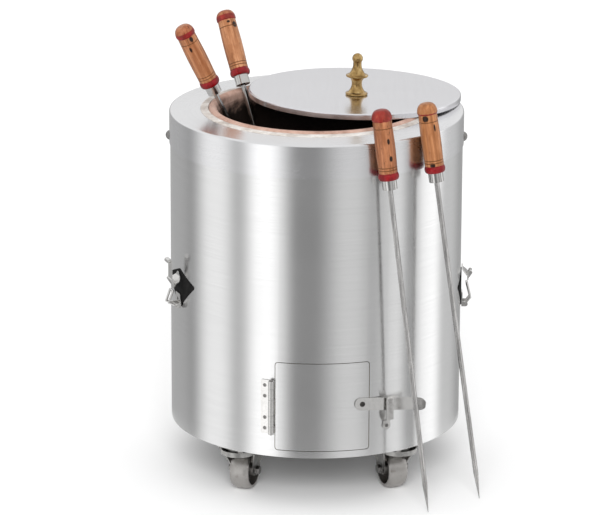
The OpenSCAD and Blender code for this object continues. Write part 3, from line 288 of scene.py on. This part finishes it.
def showPiece(bm, name, body, material, stands, place, attribute=None, sharpAbove=35.0, merge=1e-6):
    bmesh.ops.remove_doubles(bm, verts=bm.verts, dist=merge)
    bmesh.ops.recalc_face_normals(bm, faces=bm.faces)
    for face in bm.faces:
        face.smooth = True
    for edge in bm.edges:
        if len(edge.link_faces) == 2 and edge.calc_face_angle() > math.radians(sharpAbove):
            edge.smooth = False
    mesh = bpy.data.meshes.new(name)
    bm.to_mesh(mesh)
    bm.free()
    if attribute:
        local = mesh.attributes.new(attribute, "FLOAT_VECTOR", "POINT")
        for vertex in mesh.vertices:
            local.data[vertex.index].vector = vertex.co
    mesh.transform(place)
    piece = bpy.data.objects.new(name, mesh)
    bpy.context.scene.collection.objects.link(piece)
    mesh.materials.append(material)
    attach(piece, body)
    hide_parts(*stands)


def spunProfile(points, steps):
    bm = bmesh.new()
    verts = [bm.verts.new((radius, 0, height)) for radius, height in points]
    edges = [bm.edges.new(pair) for pair in zip(verts, verts[1:])]
    bmesh.ops.spin(bm, geom=verts + edges, cent=(0, 0, 0), axis=(0, 0, 1), dvec=(0, 0, 0),
                   angle=math.tau, steps=steps, use_merge=True)
    return bm


# tips and leans: azimuth from the front, radius and height of two spots on each rod's axis
skewers = dict(
    rodLength=0.633844, facing=(0, -0.96, 0.28),
    tips=[(149, 0.125, 0.1754), (6.9, 0.146, 0.1754), (35.9, 0.3655, 0.0004), (54.9, 0.3837, 0.0004)],
    leans=[(-90, 0.183, 0.716), (-130, 0.183, 0.716), (24.7, 0.3016, 0.710), (44.6, 0.3016, 0.710)],
)


def spotAt(azimuth, radius, height):
    a = math.radians(azimuth)
    return Vector((radius * math.sin(a), -radius * math.cos(a), height))


# local Z runs up the rod from the handle's lower end, and local X looks at the camera
def skewerPlace(index):
    tip, lean = spotAt(*skewers["tips"][index]), spotAt(*skewers["leans"][index])
    along = (lean - tip).normalized()
    facing = Vector(skewers["facing"])
    front = (facing - along * facing.dot(along)).normalized()
    turn = Matrix((front, along.cross(front), along)).transposed().to_4x4()
    return Matrix.Translation(tip + along * skewers["rodLength"]) @ turn


# turn: each bar about its own axis, so that two of its sides show
bar = dict(side=0.0071, edge=0.0007, edgeSteps=3, point=0.052, pointShare=0.15, tang=0.012, turn=(58, -30, -36, -38))


def skewerBar(index):
    shoulder = bar["point"] - skewers["rodLength"]
    bm = bmesh.new()
    shape = Matrix.Diagonal((bar["side"], bar["side"], bar["tang"] - shoulder, 1))
    bmesh.ops.create_cube(bm, size=1.0, matrix=Matrix.Translation((0, 0, (bar["tang"] + shoulder) / 2)) @ shape)
    bottom = min(bm.faces, key=lambda face: face.calc_center_median().z)
    made = bmesh.ops.extrude_face_region(bm, geom=[bottom])
    tipVerts = [v for v in made["geom"] if isinstance(v, bmesh.types.BMVert)]
    bmesh.ops.translate(bm, vec=(0, 0, -bar["point"]), verts=tipVerts)
    bmesh.ops.scale(bm, vec=(bar["pointShare"], bar["pointShare"], 1), verts=tipVerts)
    corners = [e for e in bm.edges if abs(e.verts[0].co.z - e.verts[1].co.z) > bar["point"] / 2]
    bmesh.ops.bevel(bm, geom=corners, offset=bar["edge"], offset_type="OFFSET", affect="EDGES",
                    segments=bar["edgeSteps"], profile=0.5, material=-1)
    turn = Matrix.Rotation(math.radians(bar["turn"][index]), 3, "Z")
    bmesh.ops.rotate(bm, cent=(0, 0, 0), matrix=turn, verts=bm.verts)
    return bm


# depths are measured inwards from the radius, levels up from the handle's lower end
handle = dict(
    radius=0.0195, steps=72, foot=[(0.0053, 0.001), (0.0127, 0.001), (0.0127, 0.0158), (0.0153, 0.0160)],
    ring=dict(level=0.0225, half=0.0064, bulge=0.003, reach=70, steps=8), neck=(0.0016, 0.0296),
    grooves=dict(levels=(0.0358, 0.0408), depth=0.0015, wide=0.0009, narrow=0.0004),
    body=dict(low=0.042, high=0.113, depth=0.0015, swell=0.0007, steps=12),
    upperGroove=dict(levels=(0.1148,), depth=0.0016, wide=0.0008, narrow=0.0003), grooveCut=0.0007,
    capNeck=[(0.0019, 0.1275), (0.0022, 0.1285), (0.0012, 0.1294), (0.0006, 0.1305)],
    cap=dict(level=0.1315, height=0.0182, depth=0.0004, fullness=0.62, top=0.1497, steps=12),
)


def handlePoints():
    radius = handle["radius"]

    def grooves(look):
        outer, inner = radius - look["depth"], radius - look["depth"] - handle["grooveCut"]
        return [spot for level in look["levels"]
                for spot in ((outer, level - look["wide"]), (inner, level - look["narrow"]),
                             (inner, level + look["narrow"]), (outer, level + look["wide"]))]

    points = list(handle["foot"])
    ring = handle["ring"]
    for step in range(ring["steps"] + 1):
        a = math.radians(ring["reach"] * (2 * step / ring["steps"] - 1))
        points.append((radius - ring["bulge"] + ring["bulge"] * math.cos(a),
                       ring["level"] + ring["half"] * math.sin(a)))
    points.append((radius - handle["neck"][0], handle["neck"][1]))
    points += grooves(handle["grooves"])
    body = handle["body"]
    for step in range(1, body["steps"]):
        share = step / body["steps"]
        points.append((radius - body["depth"] + body["swell"] * math.sin(math.pi * share),
                       body["low"] + (body["high"] - body["low"]) * share))
    points += grooves(handle["upperGroove"])
    points += [(radius - depth, level) for depth, level in handle["capNeck"]]
    cap = handle["cap"]
    for step in range(1, cap["steps"]):
        a = math.radians(90 * step / cap["steps"])
        points.append(((radius - cap["depth"]) * math.cos(a) ** cap["fullness"],
                       cap["level"] + cap["height"] * math.sin(a)))
    points.append((0.0, cap["top"]))
    return points


# red: lower and upper end and strength of each band; knots: angle and level, half width and half height
handleLooks = {
    "a": dict(light=(0.50, 0.225, 0.105), deep=(0.24, 0.075, 0.024), streaks=1.0, flecks=0.3, seed=1.0,
              red=[(0.0155, 0.0295, 1.0), (0.1280, 0.1385, 0.95)], stain=0.35,
              knots=[((18, 0.1235), (0.0045, 0.007)), ((-14, 0.1045), (0.003, 0.006))]),
    "b": dict(light=(0.54, 0.26, 0.13), deep=(0.26, 0.09, 0.03), streaks=0.4, flecks=0.6, seed=3.4,
              red=[(0.0155, 0.0295, 1.0), (0.1280, 0.1390, 0.9)], stain=0.55,
              knots=[((48, 0.116), (0.006, 0.007)), ((10, 0.123), (0.004, 0.003))]),
    "c": dict(light=(0.43, 0.175, 0.08), deep=(0.16, 0.048, 0.015), streaks=0.35, flecks=1.0, seed=6.1,
              red=[(0.0155, 0.0295, 1.0), (0.1280, 0.1520, 0.85)], stain=0.7,
              knots=[((22, 0.091), (0.003, 0.006)), ((26, 0.058), (0.0035, 0.006))]),
    "d": dict(light=(0.46, 0.20, 0.085), deep=(0.24, 0.085, 0.026), streaks=0.3, flecks=0.35, seed=8.7,
              red=[(0.0155, 0.0295, 1.0), (0.1285, 0.1310, 0.9)], stain=0.0,
              knots=[((-20, 0.1225), (0.0065, 0.0065)), ((-12, 0.0325), (0.0055, 0.0055)),
                     ((30, 0.104), (0.0025, 0.009))]),
}
# figure: noise across and along the grain, its span, strength, which look scales it, and its color
wood = dict(
    noise=(1.0, 4.0, 0.6, 0.4), grain=(150, 8), grainStops=(0.3, 0.48, 0.66), pores=(900, 30), edges=(120, 120),
    rubbed=(95, 70),
    poreSpan=(0.5, 0.75), poreShare=0.35, poreShade=0.5,
    figure=[((60, 22), (0.42, 0.62), 0.55, None, None),
            ((210, 5), (0.56, 0.66), 1.0, "streaks", (0.09, 0.035, 0.012)),
            ((105, 38), (0.56, 0.68), 0.75, "flecks", (0.17, 0.055, 0.018)),
            ((230, 75), (0.62, 0.69), 0.9, "flecks", (0.09, 0.035, 0.012))],
    knot=dict(color=(0.016, 0.006, 0.003), span=(0.75, 1.15), ragged=0.15),
    # the wood is made darker in and just beside each groove
    grooveDarkening=dict(color=(0.13, 0.05, 0.015), span=(0.0004, 0.0013), share=0.85),
    lacquer=dict(colors=((0.13, 0.002, 0.004), (0.25, 0.006, 0.009)), span=(0.3, 0.7), wave=0.0007, lowEdge=0.0004,
                 highEdge=(0.0005, 0.0012), stainFrom=(0.1285, 0.1295), stainSpan=(0.42, 0.62),
                 rubSpan=(0.66, 0.78), rubbed=0.45),
    broadSpan=(0.2, 0.8), rough=(0.42, 0.3), bump=(0.2, 0.0004), specular=0.25, coat=0.15, coatRough=0.12,
)


def handleWood(name, look):
    material, tree, shader = startMaterial(name)
    local = addNode(tree, "Attribute", attribute_name="handleSpace").outputs["Vector"]
    shifted = vectorNode(tree, "ADD", local, (look["seed"],) * 3)
    height = partsOf(tree, local)[2]

    def stretched(across, along):
        return noise(tree, vectorNode(tree, "MULTIPLY", shifted, (across, across, along)), *wood["noise"])

    grain = stretched(*wood["grain"])
    middle = [(a + b) / 2 for a, b in zip(look["light"], look["deep"])]
    base = colorRamp(tree, grain, list(zip(wood["grainStops"], (look["deep"], middle, look["light"]))))
    pores = stretched(*wood["pores"])
    base = mixColor(tree, fade(tree, pores, *wood["poreSpan"], 0.0, wood["poreShare"]), base,
                    opaque(look["deep"], wood["poreShade"]))
    for stretch, span, strength, key, color in wood["figure"]:
        share = strength * look[key] if key else strength
        base = mixColor(tree, fade(tree, stretched(*stretch), *span, 0.0, share), base, opaque(color or look["deep"]))

    knot = wood["knot"]
    for (angle, level), (halfWidth, halfHeight) in look["knots"]:
        a = math.radians(angle)
        centre = (handle["radius"] * math.cos(a), handle["radius"] * math.sin(a), level)
        offset = vectorNode(tree, "SUBTRACT", local, centre)
        scaled = vectorNode(tree, "MULTIPLY", offset, (1 / halfWidth, 1 / halfWidth, 1 / halfHeight))
        uneven = fade(tree, pores, *wood["broadSpan"], -knot["ragged"], knot["ragged"])
        distance = mathNode(tree, "ADD", lengthOf(tree, scaled), uneven)
        base = mixColor(tree, fade(tree, distance, *knot["span"], 1.0, 0.0), base, opaque(knot["color"]))

    # darker wood in and just beside each groove
    grooveDarkening = wood["grooveDarkening"]
    for level in (*handle["grooves"]["levels"], *handle["upperGroove"]["levels"]):
        away = mathNode(tree, "ABSOLUTE", mathNode(tree, "SUBTRACT", height, level))
        base = mixColor(tree, fade(tree, away, *grooveDarkening["span"], grooveDarkening["share"], 0.0), base, opaque(grooveDarkening["color"]))

    paint = wood["lacquer"]
    wave = fade(tree, stretched(*wood["edges"]), *wood["broadSpan"], -paint["wave"], paint["wave"])
    wobble = mathNode(tree, "ADD", height, wave)
    worn = stretched(*wood["rubbed"])
    red = mixColor(tree, fade(tree, worn, *paint["span"]), *[opaque(color) for color in paint["colors"]])
    stain = mathNode(tree, "MULTIPLY", fade(tree, height, *paint["stainFrom"]),
                     fade(tree, worn, *paint["stainSpan"], look["stain"], 0.0))
    lacquer = stain
    for low, high, strength in look["red"]:
        starts = fade(tree, wobble, low - paint["lowEdge"], low + paint["lowEdge"])
        ends = fade(tree, wobble, high - paint["highEdge"][0], high + paint["highEdge"][1], strength, 0.0)
        lacquer = mathNode(tree, "MAXIMUM", lacquer, mathNode(tree, "MULTIPLY", starts, ends))
    left = mathNode(tree, "MULTIPLY", lacquer, fade(tree, worn, *paint["rubSpan"], 1.0, paint["rubbed"]))
    tree.links.new(mixColor(tree, left, base, red), shader.inputs["Base Color"])
    tree.links.new(fade(tree, grain, *paint["span"], *wood["rough"]), shader.inputs["Roughness"])
    linkBump(tree, shader, [(pores, *wood["bump"])])
    shader.inputs["Specular IOR Level"].default_value = wood["specular"]
    shader.inputs["Coat Weight"].default_value = wood["coat"]
    shader.inputs["Coat Roughness"].default_value = wood["coatRough"]
    return material


for index, letter in enumerate("abcd"):
    body, place = "skewer_" + letter, skewerPlace(index)
    showPiece(skewerBar(index), "skewer_bar_" + letter, body, finishes["rodSteel"], ["skewer_rod_" + letter], place)
    showPiece(spunProfile(handlePoints(), handle["steps"]), "skewer_handle_wood_" + letter, body,
              handleWood("handleWood_" + letter, handleLooks[letter]), ["skewer_handle_" + letter], place,
              attribute="handleSpace")
print("skewer rods and handles made")


cameraView = dict(place=(0.0, -7.09923, 2.51887), ahead=(-0.004151, 0.958667, -0.284499), roll=0.2319,
                  lens=229.99, sensor=36.0, sight=50.0)


def placeCamera():
    ahead = Vector(cameraView["ahead"]).normalized()
    right = ahead.cross(Vector((0, 0, 1))).normalized()
    up = right.cross(ahead)
    roll = math.radians(cameraView["roll"])
    turnedRight = right * math.cos(roll) + up * math.sin(roll)
    turnedUp = up * math.cos(roll) - right * math.sin(roll)
    camera = bpy.data.objects.new("camera", bpy.data.cameras.new("camera"))
    camera.data.lens = cameraView["lens"]
    camera.data.sensor_width = cameraView["sensor"]
    camera.data.clip_end = cameraView["sight"]
    axes = Matrix((turnedRight, turnedUp, -ahead)).transposed()
    camera.matrix_world = Matrix.Translation(cameraView["place"]) @ axes.to_4x4()
    bpy.context.scene.collection.objects.link(camera)
    bpy.context.scene.camera = camera


placeCamera()

# boxes: softboxes round the oven by azimuth (0 is the camera's side), half width, soft edge and strength
studio = dict(
    ambient=0.27,
    boxes=[(-160, 25, 35, 0.18), (-87, 5, 26, 0.78), (-41, 3, 24, 1.12), (27, 3, 26, 0.46), (61, 4, 14, 0.42),
           (70, 2, 9, 0.3), (100, 6, 16, 0.74), (122, 10, 30, 0.38)],
    ceiling=0.92, ceilingFrom=(0.05, 0.25), backdrop=1.0,
    front=dict(toward=(0, 1, -0.56), spread=30, power=2.1),
)


def studioWorld():
    world = bpy.data.worlds.new("studio")
    bpy.context.scene.world = world
    world.use_nodes = True
    tree = world.node_tree
    direction = addNode(tree, "TexCoord").outputs["Generated"]
    level = vectorNode(tree, "NORMALIZE", vectorNode(tree, "MULTIPLY", direction, (1, 1, 0)))
    glows = []
    for azimuth, half, soft, strength in studio["boxes"]:
        a = math.radians(azimuth)
        toward = addNode(tree, "VectorMath", {0: level, 1: (math.sin(a), -math.cos(a), 0)}, operation="DOT_PRODUCT")
        angle = mathNode(tree, "ARCCOSINE", toward.outputs["Value"])
        glows.append(fade(tree, angle, math.radians(half), math.radians(half + soft), strength, 0.0))
    total = glows[0]
    for glow in (*glows[1:], studio["ambient"]):
        total = mathNode(tree, "ADD", total, glow)
    overhead = fade(tree, partsOf(tree, direction)[2], *studio["ceilingFrom"])
    total = mixValue(tree, overhead, total, studio["ceiling"])
    seen = addNode(tree, "LightPath").outputs["Is Camera Ray"]
    total = mixValue(tree, seen, total, studio["backdrop"])
    tree.nodes["Background"].inputs["Color"].default_value = (1, 1, 1, 1)
    tree.links.new(total, tree.nodes["Background"].inputs["Strength"])


studioWorld()


def frontLight():
    look = studio["front"]
    light = bpy.data.lights.new("front_light", "SUN")
    light.energy, light.angle = look["power"], math.radians(look["spread"])
    lamp = bpy.data.objects.new("front_light", light)
    lamp.matrix_world = Vector(look["toward"]).to_track_quat("-Z", "Z").to_matrix().to_4x4()
    lamp.visible_glossy = False
    bpy.context.scene.collection.objects.link(lamp)


frontLight()

floorLook = dict(color=(0.93, 0.93, 0.93), rough=0.8, inner=0.44, outer=9.0, segments=96)


# the disc under the drum is mirrored by the casters, the ring round it by nothing
def paleFloor():
    material, tree, shader = startMaterial("paleFloor")
    shader.inputs["Base Color"].default_value = opaque(floorLook["color"])
    shader.inputs["Roughness"].default_value = floorLook["rough"]
    for name, mirrored in (("floor_disc", True), ("floor_ring", False)):
        bm = bmesh.new()
        bmesh.ops.create_circle(bm, cap_ends=mirrored, segments=floorLook["segments"], radius=floorLook["inner"])
        if not mirrored:
            bmesh.ops.create_circle(bm, cap_ends=False, segments=floorLook["segments"], radius=floorLook["outer"])
            bmesh.ops.bridge_loops(bm, edges=bm.edges[:])
        bmesh.ops.recalc_face_normals(bm, faces=bm.faces)
        if bm.faces[:][0].normal.z < 0:
            bmesh.ops.reverse_faces(bm, faces=bm.faces[:])
        mesh = bpy.data.meshes.new(name)
        bm.to_mesh(mesh)
        bm.free()
        mesh.materials.append(material)
        floor = bpy.data.objects.new(name, mesh)
        bpy.context.scene.collection.objects.link(floor)
        floor.visible_glossy = mirrored


paleFloor()
bpy.context.scene.view_settings.view_transform = "Standard"
print("camera, light and floor placed")
